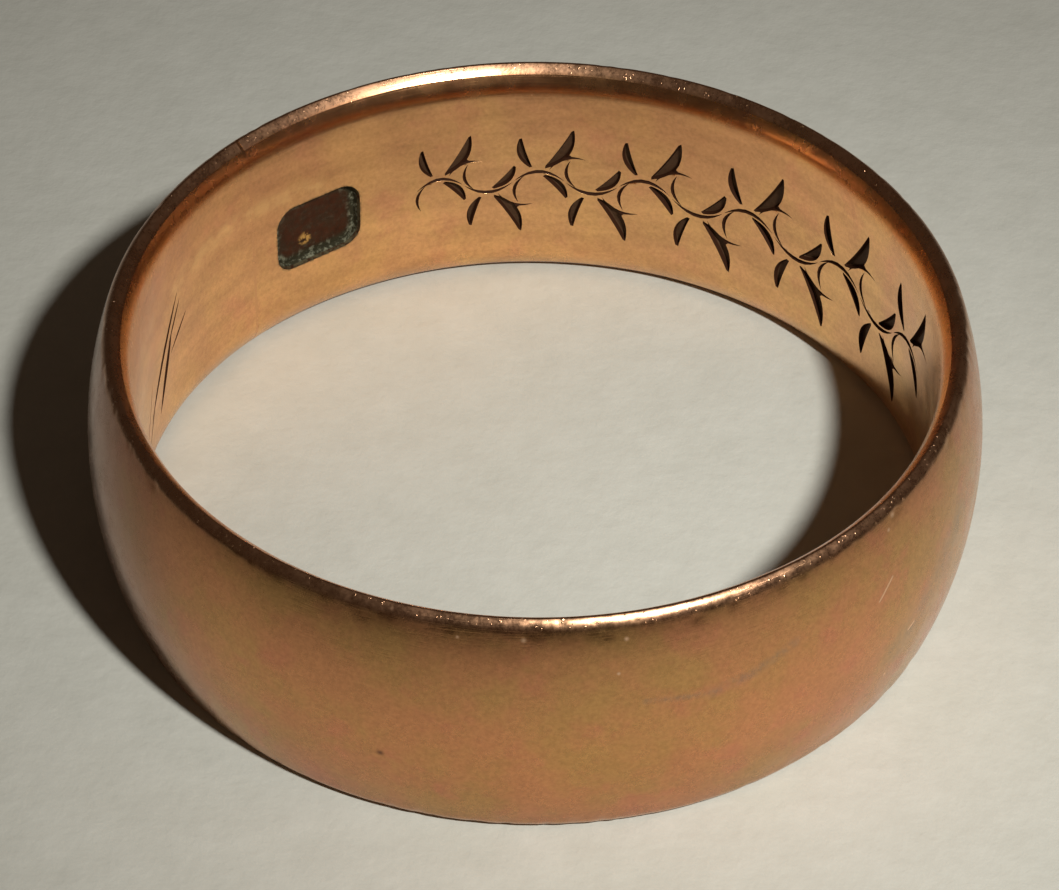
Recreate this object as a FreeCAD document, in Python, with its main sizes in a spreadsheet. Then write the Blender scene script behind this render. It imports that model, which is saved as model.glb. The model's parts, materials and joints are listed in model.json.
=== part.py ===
"""A rolled-gold wedding band as a parametric FreeCAD document.

Frame: millimetres, +Z along the finger axis, origin at the centre of the bore.  Angles are
measured from +X, counter-clockwise seen from +Z.  The band is a strip of base metal between two
thin sheets of gold, bent round until its ends meet and closed with solder.
"""
import FreeCAD, Part
import math
import os

import Sketcher

SHEET = "sizes"

# Driving dimensions: alias, value in millimetres or degrees, what it is.
DRIVING_DIMENSIONS = [
    ("bore_diameter", 17.5, "inside diameter on the straight wall, finger size 7 1/4"),
    ("band_width", 6.0, "height of the band along the finger"),
    ("wall_thickness", 1.05, "bore to the crown of the dome, both gold sheets included"),
    ("dome_radius", 9.0, "radius of the domed outside, seen in section"),
    ("sheet_thickness", 0.09, "thickness of each gold sheet"),
    ("bevel_height", 0.7, "how far the eased inner edge reaches down the bore"),
    ("bevel_angle", 18.0, "lean of the eased inner edge from the finger axis"),
    ("rim_turnover", 0.2, "gold above the end of the core, where the sheet is turned over"),
    ("rim_outer_rounding", 0.2, "radius between rim and dome"),
    ("rim_inner_rounding", 0.2, "radius between rim and eased inner edge"),
    ("joint_position", 138.0, "angle of the soldered joint"),
    ("solder_angle", 0.5, "angle that the solder fills"),
    ("recess_position", 125.7, "angle of the punched cartouche inside"),
    ("recess_level", -0.3, "height of the cartouche's centre"),
    ("recess_length", 2.3, "cartouche, along the bore"),
    ("recess_height", 1.8, "cartouche, along the finger"),
    ("recess_corner", 0.5, "corner radius of the cartouche"),
    ("recess_depth", 0.2, "cartouche, below the bore wall"),
    ("vine_start", 108.9, "angle where the engraved vine begins"),
    ("vine_end", 12.7, "angle where the engraved vine ends"),
    ("vine_level", -0.2, "height of the vine's stem"),
    ("vine_nodes", 11, "leaf nodes along the vine"),
    ("vine_scale_start", 1.05, "size of the first node's leaves"),
    ("vine_scale_end", 1.4, "size of the last node's leaves"),
    ("leaf_depth", 0.12, "leaf cuts, below the bore wall"),
    ("hairline_depth", 0.05, "stem and tendril cuts, below the bore wall"),
]

# One node of the vine at scale 1, for a node that swings up.  Each cut is
# (start along, start up, direction in degrees, length, width, bow), with millimetres measured
# from the node's point on the stem.  Direction 0 runs along the vine, and bow is how far the
# middle of the cut bends to its left.
LEAVES = [
    (0.06, 0.06, 60.0, 1.3, 0.26, -0.16),
    (-0.12, 0.05, 106.0, 0.95, 0.19, 0.12),
    (0.02, -0.07, -50.0, 0.9, 0.2, 0.12),
]
TENDRILS = [
    (0.2, 0.03, 22.0, 0.85, 0.075, 0.18),
    (-0.3, -0.1, -100.0, 0.75, 0.075, -0.16),
]
STEM_SWING = 0.26
STEM_WIDTH = 0.09


def new_sheet(doc):
    """The spreadsheet of driving dimensions; every cell has an alias."""
    sheet = doc.addObject("Spreadsheet::Sheet", SHEET)
    for row, (alias, value, meaning) in enumerate(DRIVING_DIMENSIONS, start=1):
        sheet.set(f"A{row}", str(value))
        sheet.setAlias(f"A{row}", alias)
        sheet.set(f"B{row}", meaning)
    doc.recompute()
    return sheet


# Expressions shared by the sections.  x is the distance from the finger axis.
BEVEL_SLOPE = f"tan({SHEET}.bevel_angle * 1 deg)"
BORE_X = f"{SHEET}.bore_diameter / 2"
LINING_BACK_X = f"{BORE_X} + {SHEET}.sheet_thickness"
BEVEL_START = f"{SHEET}.band_width / 2 - {SHEET}.bevel_height"
CORE_END = f"{SHEET}.band_width / 2 - {SHEET}.rim_turnover"
RIM = f"{SHEET}.band_width / 2"
LEAN_TO_CORE_END = f"({SHEET}.bevel_height - {SHEET}.rim_turnover) * {BEVEL_SLOPE}"
LINING_TOP_X = f"{BORE_X} + {LEAN_TO_CORE_END}"
CORE_TOP_X = f"{LINING_BACK_X} + {LEAN_TO_CORE_END}"
RIM_CORNER_X = f"{BORE_X} + {SHEET}.bevel_height * {BEVEL_SLOPE}"
DOME_CENTRE_X = f"{BORE_X} + {SHEET}.wall_thickness - {SHEET}.dome_radius"
OUTER_DOME = f"{SHEET}.dome_radius"
INNER_DOME = f"{SHEET}.dome_radius - {SHEET}.sheet_thickness"

START, END = 1, 2


class Section:
    """A closed outline in the XZ plane, mirror-symmetric about the middle of the band.

    Its upper half is drawn and dimensioned, and its lower half is tied to the upper by mirror
    constraints.  Every size is bound to the spreadsheet.
    """

    def __init__(self, body, name):
        self.sketch = body.newObject("Sketcher::SketchObject", name)
        plane = next(f for f in body.Origin.OriginFeatures if f.Role == "XZ_Plane")
        self.sketch.AttachmentSupport = (plane, [""])
        self.sketch.MapMode = "FlatFace"

    def value(self, expression):
        """An expression's present value, used to draw near the final place."""
        value = self.sketch.evalExpression(expression)
        return float(getattr(value, "Value", value))

    def line(self, start, end):
        return self.sketch.addGeometry(
            Part.LineSegment(FreeCAD.Vector(*start, 0), FreeCAD.Vector(*end, 0)), False
        )

    def arc(self, centre, radius, first, last):
        """An arc drawn counter-clockwise between two angles in radians."""
        circle = Part.Circle(FreeCAD.Vector(*centre, 0), FreeCAD.Vector(0, 0, 1), radius)
        return self.sketch.addGeometry(Part.ArcOfCircle(circle, first, last), False)

    def dome(self, radius_expression, half):
        """An arc of the dome over `half` radians each way from the middle of the band."""
        centre_x = self.value(DOME_CENTRE_X)
        radius = self.value(radius_expression)
        arc = self.arc((centre_x, 0), radius, -half, half)
        self.bind(Sketcher.Constraint("DistanceX", -1, 1, arc, 3, centre_x), DOME_CENTRE_X)
        self.radius(arc, radius_expression)
        return arc

    def bind(self, constraint, expression):
        index = self.sketch.addConstraint(constraint)
        self.sketch.setExpression(f"Constraints[{index}]", expression)

    def radius(self, arc, expression):
        self.bind(Sketcher.Constraint("Radius", arc, self.value(expression)), expression)

    def level(self, line, end, expression):
        """Fixes the height of one end of a line."""
        value = self.value(expression)
        self.bind(Sketcher.Constraint("DistanceY", -1, 1, line, end, value), expression)

    def place(self, line, end, x_expression, level_expression):
        """Fixes one end of a line."""
        x = self.value(x_expression)
        self.bind(Sketcher.Constraint("DistanceX", -1, 1, line, end, x), x_expression)
        self.level(line, end, level_expression)

    def join(self, first, first_end, second, second_end):
        self.sketch.addConstraint(
            Sketcher.Constraint("Coincident", first, first_end, second, second_end)
        )

    def flow(self, first, first_end, second, second_end):
        """Joins two ends so that one curve runs smoothly into the other."""
        self.sketch.addConstraint(
            Sketcher.Constraint("Tangent", first, first_end, second, second_end)
        )

    def mirror(self, upper, upper_end, lower, lower_end):
        self.sketch.addConstraint(
            Sketcher.Constraint("Symmetric", upper, upper_end, lower, lower_end, -1)
        )

    def turn(self, body, angle_expression, start_expression):
        """Revolves the section about the finger axis and turns the result to its place."""
        strip = body.newObject("PartDesign::Revolution", f"{body.Name}_turned")
        strip.Profile = self.sketch
        strip.ReferenceAxis = (self.sketch, ["V_Axis"])
        strip.setExpression("Angle", angle_expression)
        body.Placement = FreeCAD.Placement(
            FreeCAD.Vector(0, 0, 0), FreeCAD.Rotation(FreeCAD.Vector(0, 0, 1), 0)
        )
        body.setExpression("Placement.Rotation.Angle", start_expression)


STRIP_ANGLE = f"360 - {SHEET}.solder_angle"
STRIP_START = f"{SHEET}.joint_position + {SHEET}.solder_angle / 2"
SOLDER_ANGLE = f"{SHEET}.solder_angle"
SOLDER_START = f"{SHEET}.joint_position - {SHEET}.solder_angle / 2"


def rounded_outside(s, start_x, start_level):
    """Eased edge, rim and dome, from a point on the upper easing round to its mirror image.

    Returns the first and last line of the run.
    """
    rim = s.value(RIM)
    angle = math.radians(s.value(f"{SHEET}.bevel_angle"))
    start = (s.value(start_x), s.value(start_level))
    rim_corner = (s.value(RIM_CORNER_X), rim)

    inner_radius = s.value(f"{SHEET}.rim_inner_rounding")
    run_in = inner_radius / math.tan((math.pi / 2 + angle) / 2)
    ease_end = (
        rim_corner[0] - run_in * math.sin(angle),
        rim_corner[1] - run_in * math.cos(angle),
    )
    crest_centre = (rim_corner[0] + run_in, rim - inner_radius)

    outer_radius = s.value(f"{SHEET}.rim_outer_rounding")
    dome_radius = s.value(OUTER_DOME)
    corner_reach = dome_radius - outer_radius
    corner_angle = math.asin((rim - outer_radius) / corner_reach)
    corner_centre = (
        s.value(DOME_CENTRE_X) + corner_reach * math.cos(corner_angle),
        rim - outer_radius,
    )

    ease = s.line(start, ease_end)
    crest = s.arc(crest_centre, inner_radius, math.pi / 2, math.pi - angle)
    land = s.line((crest_centre[0], rim), (corner_centre[0], rim))
    corner = s.arc(corner_centre, outer_radius, corner_angle, math.pi / 2)
    dome = s.dome(OUTER_DOME, corner_angle)
    low_corner = s.arc(
        (corner_centre[0], -corner_centre[1]), outer_radius, -math.pi / 2, -corner_angle
    )
    low_land = s.line((corner_centre[0], -rim), (crest_centre[0], -rim))
    low_crest = s.arc(
        (crest_centre[0], -crest_centre[1]), inner_radius, math.pi + angle, 1.5 * math.pi
    )
    low_ease = s.line((ease_end[0], -ease_end[1]), (start[0], -start[1]))

    s.flow(ease, END, crest, END)
    s.flow(crest, START, land, START)
    s.flow(land, END, corner, END)
    s.flow(corner, START, dome, END)
    s.join(dome, START, low_corner, END)
    s.join(low_corner, START, low_land, START)
    s.join(low_land, END, low_crest, END)
    s.join(low_crest, START, low_ease, START)

    s.place(ease, START, start_x, start_level)
    ease_direction = Sketcher.Constraint("Angle", ease, math.pi / 2 - angle)
    s.bind(ease_direction, f"90 - {SHEET}.bevel_angle")
    s.level(land, START, RIM)
    s.sketch.addConstraint(Sketcher.Constraint("Horizontal", land))
    for arc in (crest, low_crest):
        s.radius(arc, f"{SHEET}.rim_inner_rounding")
    for arc in (corner, low_corner):
        s.radius(arc, f"{SHEET}.rim_outer_rounding")

    s.mirror(ease, START, low_ease, END)
    s.mirror(crest, END, low_crest, START)
    s.mirror(crest, START, low_crest, END)
    s.mirror(corner, END, low_corner, START)
    s.mirror(corner, START, low_corner, END)
    return ease, low_ease


def lining_body(doc):
    """Gold sheet on the finger side: a straight wall that leans outwards at both ends."""
    body = doc.addObject("PartDesign::Body", "lining_strip")
    s = Section(body, "lining_section")
    bore, back = s.value(BORE_X), s.value(LINING_BACK_X)
    top_in, top_out = s.value(LINING_TOP_X), s.value(CORE_TOP_X)
    straight, end = s.value(BEVEL_START), s.value(CORE_END)
    wall = s.line((bore, -straight), (bore, straight))
    ease = s.line((bore, straight), (top_in, end))
    edge = s.line((top_in, end), (top_out, end))
    back_ease = s.line((top_out, end), (back, straight))
    back_wall = s.line((back, straight), (back, -straight))
    low_back_ease = s.line((back, -straight), (top_out, -end))
    low_edge = s.line((top_out, -end), (top_in, -end))
    low_ease = s.line((top_in, -end), (bore, -straight))
    loop = [wall, ease, edge, back_ease, back_wall, low_back_ease, low_edge, low_ease]
    for first, second in zip(loop, loop[1:] + loop[:1]):
        s.join(first, END, second, START)
    s.place(ease, START, BORE_X, BEVEL_START)
    s.place(edge, START, LINING_TOP_X, CORE_END)
    s.place(edge, END, CORE_TOP_X, CORE_END)
    s.place(back_ease, END, LINING_BACK_X, BEVEL_START)
    s.mirror(ease, START, wall, START)
    s.mirror(edge, START, low_edge, END)
    s.mirror(edge, END, low_edge, START)
    s.mirror(back_ease, END, back_wall, END)
    s.turn(body, STRIP_ANGLE, STRIP_START)
    return body


def dome_half_angle(s, radius_expression, level_expression):
    return math.asin(s.value(level_expression) / s.value(radius_expression))


def dome_x(s, radius_expression, level_expression):
    """How far out an arc of the dome is at a given height."""
    half = dome_half_angle(s, radius_expression, level_expression)
    return s.value(DOME_CENTRE_X) + s.value(radius_expression) * math.cos(half)


def core_body(doc):
    """Base-metal core: fills the band between the two gold sheets."""
    body = doc.addObject("PartDesign::Body", "core_strip")
    s = Section(body, "core_section")
    back, top = s.value(LINING_BACK_X), s.value(CORE_TOP_X)
    straight, end = s.value(BEVEL_START), s.value(CORE_END)
    outer = dome_x(s, INNER_DOME, CORE_END)
    wall = s.line((back, -straight), (back, straight))
    ease = s.line((back, straight), (top, end))
    edge = s.line((top, end), (outer, end))
    dome = s.dome(INNER_DOME, dome_half_angle(s, INNER_DOME, CORE_END))
    low_edge = s.line((outer, -end), (top, -end))
    low_ease = s.line((top, -end), (back, -straight))
    s.join(wall, END, ease, START)
    s.join(ease, END, edge, START)
    s.join(edge, END, dome, END)
    s.join(dome, START, low_edge, START)
    s.join(low_edge, END, low_ease, START)
    s.join(low_ease, END, wall, START)
    s.place(ease, START, LINING_BACK_X, BEVEL_START)
    s.place(edge, START, CORE_TOP_X, CORE_END)
    s.level(edge, END, CORE_END)
    s.mirror(ease, START, wall, START)
    s.mirror(edge, START, low_edge, END)
    s.mirror(edge, END, low_edge, START)
    s.turn(body, STRIP_ANGLE, STRIP_START)
    return body


def shell_body(doc):
    """Gold sheet outside: the dome, turned over both rims and down to the lining."""
    body = doc.addObject("PartDesign::Body", "outer_gold_shell")
    s = Section(body, "shell_section")
    seam, end = s.value(LINING_TOP_X), s.value(CORE_END)
    outer = dome_x(s, INNER_DOME, CORE_END)
    ease, low_ease = rounded_outside(s, LINING_TOP_X, CORE_END)
    low_seat = s.line((seam, -end), (outer, -end))
    inner = s.dome(INNER_DOME, dome_half_angle(s, INNER_DOME, CORE_END))
    seat = s.line((outer, end), (seam, end))
    s.join(low_ease, END, low_seat, START)
    s.join(low_seat, END, inner, START)
    s.join(inner, END, seat, START)
    s.join(seat, END, ease, START)
    s.level(seat, START, CORE_END)
    s.mirror(seat, START, low_seat, END)
    s.turn(body, STRIP_ANGLE, STRIP_START)
    return body


def solder_body(doc):
    """The soldered joint: a thin wedge of the band's whole section."""
    body = doc.addObject("PartDesign::Body", "joint_solder")
    s = Section(body, "solder_section")
    bore, straight = s.value(BORE_X), s.value(BEVEL_START)
    ease, low_ease = rounded_outside(s, BORE_X, BEVEL_START)
    wall = s.line((bore, -straight), (bore, straight))
    s.join(low_ease, END, wall, START)
    s.join(wall, END, ease, START)
    s.turn(body, SOLDER_ANGLE, SOLDER_START)
    return body


def graver_cut(radius, angle, level, direction, length, width, bow, depth):
    """One cut of the graver: a pointed blade between two arcs, sunk straight into the bore wall.

    It starts at (angle, level) and runs `length` in `direction` on the unrolled wall, where 0 is
    clockwise along the bore and 90 is up the finger.
    """
    run = length * math.cos(math.radians(direction))
    rise = length * math.sin(math.radians(direction))
    middle_angle = angle - math.degrees(run / 2 / radius)
    outward = FreeCAD.Vector(
        math.cos(math.radians(middle_angle)), math.sin(math.radians(middle_angle)), 0
    )
    along = FreeCAD.Vector(outward.y, -outward.x, 0)
    up = FreeCAD.Vector(0, 0, 1)
    clearance = 0.3
    middle = outward * (radius - clearance) + up * (level + rise / 2)
    axis = along * (run / length) + up * (rise / length)
    left = up * (run / length) - along * (rise / length)
    start = middle - axis * (length / 2)
    end = middle + axis * (length / 2)
    left_side = Part.Arc(start, middle + left * (bow + width / 2), end).toShape()
    right_side = Part.Arc(end, middle + left * (bow - width / 2), start).toShape()
    blade = Part.Face(Part.Wire([left_side, right_side]))
    return blade.extrude(outward * (clearance + depth))


def vine_cuts(sheet):
    """All cuts of the engraved vine: stem, leaves and tendrils, growing in size along the bore."""
    radius = sheet.bore_diameter / 2
    nodes = int(sheet.vine_nodes)
    scales = [
        sheet.vine_scale_start + (sheet.vine_scale_end - sheet.vine_scale_start) * i / (nodes - 1)
        for i in range(nodes)
    ]
    total = sum(scales)
    span = sheet.vine_start - sheet.vine_end
    cuts = []
    angle = sheet.vine_start
    for i, scale in enumerate(scales):
        side = 1 if i % 2 == 0 else -1
        pitch = span * scale / total
        middle = angle - pitch / 2
        level = sheet.vine_level + side * STEM_SWING * scale
        stem = math.radians(pitch) * radius
        cuts.append(
            graver_cut(radius, angle, sheet.vine_level, 0, stem, STEM_WIDTH * scale,
                       side * STEM_SWING * scale, sheet.hairline_depth)
        )
        for marks, depth in ((LEAVES, sheet.leaf_depth), (TENDRILS, sheet.hairline_depth)):
            for along, up, direction, length, width, bow in marks:
                cuts.append(
                    graver_cut(radius, middle - math.degrees(along * scale / radius),
                               level + side * up * scale, side * direction, length * scale,
                               width * scale, side * bow * scale, depth)
                )
        angle -= pitch
    return cuts


def engraving(doc, sheet):
    """The vine as one cutting tool."""
    cuts = vine_cuts(sheet)
    tool = doc.addObject("Part::Feature", "vine_tool")
    tool.Shape = cuts[0].multiFuse(cuts[1:])
    tool.Placement = FreeCAD.Placement()
    return tool


def cartouche(doc, sheet):
    """The punched recess as a cutting tool: a plain block with rounded upright edges."""
    block = doc.addObject("Part::Box", "cartouche_block")
    block.setExpression("Length", f"{SHEET}.recess_depth * 2")
    block.setExpression("Width", f"{SHEET}.recess_length")
    block.setExpression("Height", f"{SHEET}.recess_height")
    block.Placement = FreeCAD.Placement(
        FreeCAD.Vector(0, 0, 0), FreeCAD.Rotation(FreeCAD.Vector(0, 0, 1), 0)
    )
    reach = f"({SHEET}.bore_diameter / 2 - {SHEET}.recess_depth)"
    turn = f"{SHEET}.recess_position"
    block.setExpression("Placement.Rotation.Angle", turn)
    block.setExpression(
        "Placement.Base.x", f"{reach} * cos({turn}) + {SHEET}.recess_length / 2 * sin({turn})"
    )
    block.setExpression(
        "Placement.Base.y", f"{reach} * sin({turn}) - {SHEET}.recess_length / 2 * cos({turn})"
    )
    block.setExpression("Placement.Base.z", f"{SHEET}.recess_level - {SHEET}.recess_height / 2")
    doc.recompute()
    outward = FreeCAD.Vector(
        math.cos(math.radians(sheet.recess_position)),
        math.sin(math.radians(sheet.recess_position)),
        0,
    )
    corners = [
        number
        for number, edge in enumerate(block.Shape.Edges, start=1)
        if abs(edge.tangentAt(edge.FirstParameter).dot(outward)) > 0.999
    ]
    rounded = doc.addObject("Part::Fillet", "cartouche_tool")
    rounded.Base = block
    radius = sheet.recess_corner
    rounded.Edges = [(number, radius, radius) for number in corners]
    return rounded


def cut_away(doc, name, base, tool):
    cut = doc.addObject("Part::Cut", name)
    cut.Base = base
    cut.Tool = tool
    return cut


def check(doc, sub_parts):
    """Stops the run if any object failed or any sub-part is not one sound solid."""
    for item in doc.Objects:
        if "Invalid" in item.State or "Error" in item.State:
            raise RuntimeError(f"{item.Name} failed: {item.State}")
    for item in sub_parts:
        shape = item.Shape
        if shape.isNull() or not shape.isValid() or len(shape.Solids) != 1:
            raise RuntimeError(f"{item.Label} is not one valid solid")


def main():
    doc = FreeCAD.newDocument("wedding_band")
    sheet = new_sheet(doc)

    shell = shell_body(doc)
    solder = solder_body(doc)
    lining_strip = lining_body(doc)
    core_strip = core_body(doc)
    marks = doc.addObject("Part::MultiFuse", "inner_marks")
    marks.Shapes = [engraving(doc, sheet), cartouche(doc, sheet)]
    lining = cut_away(doc, "inner_gold_lining", lining_strip, marks)
    core = cut_away(doc, "base_metal_core", core_strip, marks)
    doc.recompute()

    sub_parts = [core, shell, lining, solder]
    for item in sub_parts:
        item.Label = item.Name
    check(doc, sub_parts)

    os.makedirs("parts", exist_ok=True)
    for item in sub_parts:
        item.Shape.exportStep(f"parts/{item.Label}.step")
        box = item.Shape.BoundBox
        print(
            f"{item.Label}: volume {item.Shape.Volume:.3f} mm3, "
            f"box {box.XLength:.2f} x {box.YLength:.2f} x {box.ZLength:.2f} mm"
        )


main()
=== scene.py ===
"""Looks for a worn rolled-gold wedding band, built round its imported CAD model.

The four pieces follow the CAD: a base-metal core, a gold sheet outside, a gold lining inside and
the soldered joint.  Their meshes add the fine relief of a ring that has been worn for years: cuts
that go through the lining into the core, a punched cartouche, scratches, nicks and soft dents.
Mesh and material code works in millimetres, and meshes scale to metres when they are made.  A
place on the band is an angle in degrees from +X, counter-clockwise seen from above, and a level,
the height above the middle of the band.
"""
import json
import math

import bpy
import numpy as np
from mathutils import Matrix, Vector, geometry, noise


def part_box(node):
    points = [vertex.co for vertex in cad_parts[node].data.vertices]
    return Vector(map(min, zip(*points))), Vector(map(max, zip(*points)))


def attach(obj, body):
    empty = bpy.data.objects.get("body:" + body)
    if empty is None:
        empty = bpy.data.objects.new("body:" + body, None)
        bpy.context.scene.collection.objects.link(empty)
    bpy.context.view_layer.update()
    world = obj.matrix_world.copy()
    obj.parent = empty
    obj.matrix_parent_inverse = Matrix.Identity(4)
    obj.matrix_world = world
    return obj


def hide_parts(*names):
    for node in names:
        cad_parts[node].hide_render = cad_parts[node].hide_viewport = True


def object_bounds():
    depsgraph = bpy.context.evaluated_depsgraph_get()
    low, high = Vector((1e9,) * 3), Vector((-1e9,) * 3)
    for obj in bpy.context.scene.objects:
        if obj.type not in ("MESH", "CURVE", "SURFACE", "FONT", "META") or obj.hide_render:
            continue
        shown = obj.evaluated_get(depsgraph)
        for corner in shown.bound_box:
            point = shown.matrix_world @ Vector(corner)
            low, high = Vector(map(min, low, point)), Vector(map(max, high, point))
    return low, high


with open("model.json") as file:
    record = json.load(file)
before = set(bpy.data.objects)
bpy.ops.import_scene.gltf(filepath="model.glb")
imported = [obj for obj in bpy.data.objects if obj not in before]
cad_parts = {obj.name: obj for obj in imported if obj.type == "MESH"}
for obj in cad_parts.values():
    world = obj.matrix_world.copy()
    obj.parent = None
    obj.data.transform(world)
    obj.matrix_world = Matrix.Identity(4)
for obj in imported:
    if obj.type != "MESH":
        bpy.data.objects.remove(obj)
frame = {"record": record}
cad_low, cad_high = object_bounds()

MM = 0.001

# ---------------------------------------------------------------- sizes from the frame
FINGER_BORE = next(m for m in frame["record"]["mounts"] if m["name"] == "finger_bore")
BORE = FINGER_BORE["dims"]["r_mm"]
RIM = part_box("outer_gold_shell")[1].z / MM
CORE_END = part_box("base_metal_core")[1].z / MM
CROWN = cad_high.x / MM
SOLDER_LOW, SOLDER_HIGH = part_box("joint_solder")
SOLDER_MIDDLE = (SOLDER_LOW + SOLDER_HIGH) / 2
JOINT = math.atan2(SOLDER_MIDDLE.y, SOLDER_MIDDLE.x)

# ---------------------------------------------------------------- sizes of the make
SHEET = 0.09
SOLDER_ANGLE = math.radians(0.5)
SOLDER_SINK = 0.003
DOME_RADIUS = 9.0

# The inner wall waves softly about its mean radius.  The worn rim leads from it to the dome in
# three arcs: shoulder, crest and flank.  In section the surface faces in the direction
# FLANK_START, from outwards towards up, where the crest becomes the flank.
WALL = BORE - 0.01
SHOULDER_RADIUS = 1.05
CREST_RADIUS = 0.07
FLANK_RADIUS = 0.4
FLANK_START = math.radians(60.0)

# The engraved vine and the cartouche, at the places they have in the CAD.  Each leaf and tendril
# is (start along, start up, direction in degrees, length, width, bow) at scale 1.
VINE_START = 108.9
VINE_END = 12.7
VINE_LEVEL = -0.2
VINE_NODES = 11
VINE_SCALES = (1.05, 1.4)
STEM_SWING = 0.26
STEM_WIDTH = 0.09
LEAF_WALL = 1.9
LEAF_DEPTH = 0.12
HAIRLINE_WALL = 0.9
HAIRLINE_DEPTH = 0.06
LEAVES = [
    (0.06, 0.06, 60.0, 1.3, 0.26, -0.16),
    (-0.12, 0.05, 106.0, 0.95, 0.19, 0.12),
    (0.02, -0.07, -50.0, 0.9, 0.2, 0.12),
]
TENDRILS = [
    (0.2, 0.03, 22.0, 0.85, 0.075, 0.18),
    (-0.3, -0.1, -100.0, 0.75, 0.075, -0.16),
]
RECESS_ANGLE = 125.7
RECESS_LEVEL = -0.3
RECESS_HALF = (1.15, 0.9)
RECESS_CORNER = 0.5
RECESS_DEPTH = 0.2
RECESS_WALL = 2.6
LUMPS_START = 0.12
LUMPS_BLEND = 0.15

# Scratches of wear inside: (angle, level) of each end, width and depth.
SCRATCHES = [
    ((157.0, 0.9), (170.2, -1.58), 0.13, 0.06),
    ((156.6, 0.62), (161.2, -0.3), 0.07, 0.03),
    ((159.6, 0.05), (165.8, -1.81), 0.17, 0.07),
    ((154.8, 0.06), (160.6, -0.62), 0.07, 0.03),
    ((166.8, -0.9), (172.0, -2.1), 0.05, 0.02),
    ((168.0, -0.4), (174.0, -2.1), 0.035, 0.014),
]
SCRATCH_BEND = 0.02

# Unevenness by hand and wear: layers of noise, each (height, size, seed).
INNER_WAVES = [(0.012, 3.2, 1), (0.0016, 0.7, 2)]
RECESS_LUMPS = [(0.035, 0.45, 3), (0.012, 0.16, 4)]
OUTER_WAVES = [(0.012, 3.4, 5), (0.002, 0.8, 6)]
SEED_STEP = (17.3, 5.1, 9.7)


# ---------------------------------------------------------------- the unrolled bore
# Points of the inner surface are (w, z): w runs clockwise along the bore from the joint, as
# someone inside the ring sees it run to the right, and z is the height.
FULL_TURN = 2 * math.pi
W_FIRST = SOLDER_ANGLE / 2 * BORE
W_LAST = (FULL_TURN - SOLDER_ANGLE / 2) * BORE


def along_bore(angle_degrees):
    return (JOINT - math.radians(angle_degrees)) % FULL_TURN * BORE


def ramp(value, start, width):
    """0 below the start, rising to 1 over the width."""
    return np.clip((value - start) / width, 0, 1)


def turned(radius, angle, level):
    """Points of the ring in mm, from distances to the axis, angles and heights."""
    return np.stack([radius * np.cos(angle), radius * np.sin(angle), level], axis=-1)


def smooth_noise(points, size, seed):
    """Perlin noise in -1..1 at points in mm, with features of about `size` mm."""
    shift = Vector([seed * step for step in SEED_STEP])
    points = np.asarray(points)
    scaled = points.reshape(-1, 3) / size
    return np.array([noise.noise(Vector(p) + shift) for p in scaled]).reshape(points.shape[:-1])


def waves(points, layers):
    """Soft unevenness in mm: a sum of noises, each given as height, size and seed."""
    return sum(height * smooth_noise(points, size, seed) for height, size, seed in layers)


def rim_centres():
    """Centres of the three arcs that lead from the bore over the rim to the dome, in section."""
    flank_z = RIM - CREST_RADIUS - (FLANK_RADIUS - CREST_RADIUS) * math.sin(FLANK_START)
    reach = DOME_RADIUS - FLANK_RADIUS
    flank = (CROWN - DOME_RADIUS + math.sqrt(reach**2 - flank_z**2), flank_z)
    crest_x = flank[0] + (FLANK_RADIUS - CREST_RADIUS) * math.cos(FLANK_START)
    crest = (crest_x, RIM - CREST_RADIUS)
    across = WALL + SHOULDER_RADIUS - crest_x
    shoulder_z = crest[1] - math.sqrt((SHOULDER_RADIUS - CREST_RADIUS) ** 2 - across**2)
    return (WALL + SHOULDER_RADIUS, shoulder_z), crest, flank


SHOULDER, CREST, FLANK = rim_centres()


def inner_wall(level):
    """Radius of the inner surface at a height: straight, then a worn shoulder towards each rim."""
    rise = np.clip(np.abs(level) - SHOULDER[1], 0, None)
    return SHOULDER[0] - np.sqrt(SHOULDER_RADIUS**2 - rise**2)


def inner_relief(angle, level):
    """Radial unevenness of the inner surface in mm, away from the axis."""
    return waves(turned(BORE, angle, level), INNER_WAVES)


# ---------------------------------------------------------------- graver cuts
class Cut:
    """A pointed cut on the unrolled bore, V-shaped until it reaches its floor."""

    def __init__(self, start, direction, length, width, bow, wall, floor):
        self.start = np.array(start)
        self.axis = np.array([math.cos(direction), math.sin(direction)])
        self.left = np.array([-self.axis[1], self.axis[0]])
        self.length = length
        self.width = width
        self.bow = bow
        self.wall = wall
        self.floor = floor

    def inside(self, points):
        """How far inside the outline each point is, across the cut, in mm."""
        offset = points - self.start
        t = offset @ self.axis / self.length
        crown = 4 * t * (1 - t)
        inner = self.width / 2 * crown - np.abs(offset @ self.left - self.bow * crown)
        return np.where((t < 0) | (t > 1), -1.0, inner)

    def depth(self, points):
        return np.clip(self.wall * self.inside(points), 0, self.floor)

    def point(self, t, across):
        """The place at a share of the length, some way across from the middle of the cut."""
        crown = 4 * t * (1 - t)
        return self.start + t * self.length * self.axis + (self.bow * crown + across) * self.left

    def contour(self, depth, samples):
        """The closed outline where the cut has a given depth, or None if it never does."""
        least = depth / self.wall / (self.width / 2)
        if least >= TOO_NARROW:
            return None
        reach = math.sqrt(1 - least)
        steps = [0.5 - reach / 2 * math.cos(math.pi * i / samples) for i in range(samples + 1)]
        half = [self.width / 2 * 4 * t * (1 - t) - depth / self.wall for t in steps]
        there = [self.point(t, h) for t, h in zip(steps, half)]
        back = [self.point(t, -h) for t, h in zip(steps[1:-1], half[1:-1])]
        return there + back[::-1]

    def keel(self, samples):
        """The line along the bottom of a plain V cut."""
        return [self.point((i + 0.5) / samples, 0.0) for i in range(samples)]


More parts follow.
